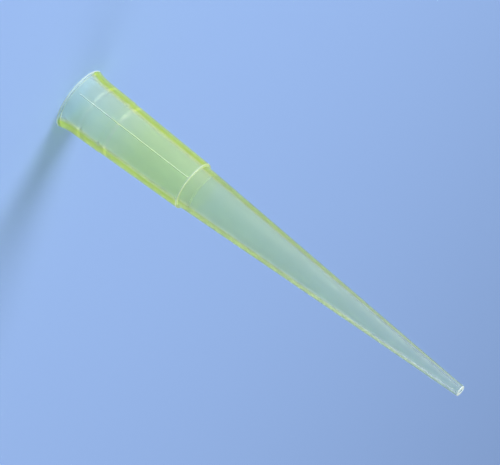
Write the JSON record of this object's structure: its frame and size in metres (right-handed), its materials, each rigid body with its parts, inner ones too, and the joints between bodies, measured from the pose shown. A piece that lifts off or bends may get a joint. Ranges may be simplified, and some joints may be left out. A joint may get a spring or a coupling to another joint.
{
  "type": "pipette tip",
  "caption": "Yellow translucent plastic pipette tip: a flared mouth and drafted collar, a shoulder, and a long thin-walled cone down to a fine orifice.",
  "frame": {"origin": "centre of the mouth face, which the tip stands on", "axes": "+Z along the tip's axis, from the mouth to the fine end; the first parting line is 7.5 degrees from -Y, towards -X"},
  "size_m": [0.007, 0.007, 0.05],
  "materials": {
    "yellow_plastic": "translucent yellow polypropylene, satin, faintly hazy"
  },
  "bodies": {
    "root": {"pipette_tip": "yellow_plastic"}
  },
  "joints": []
}
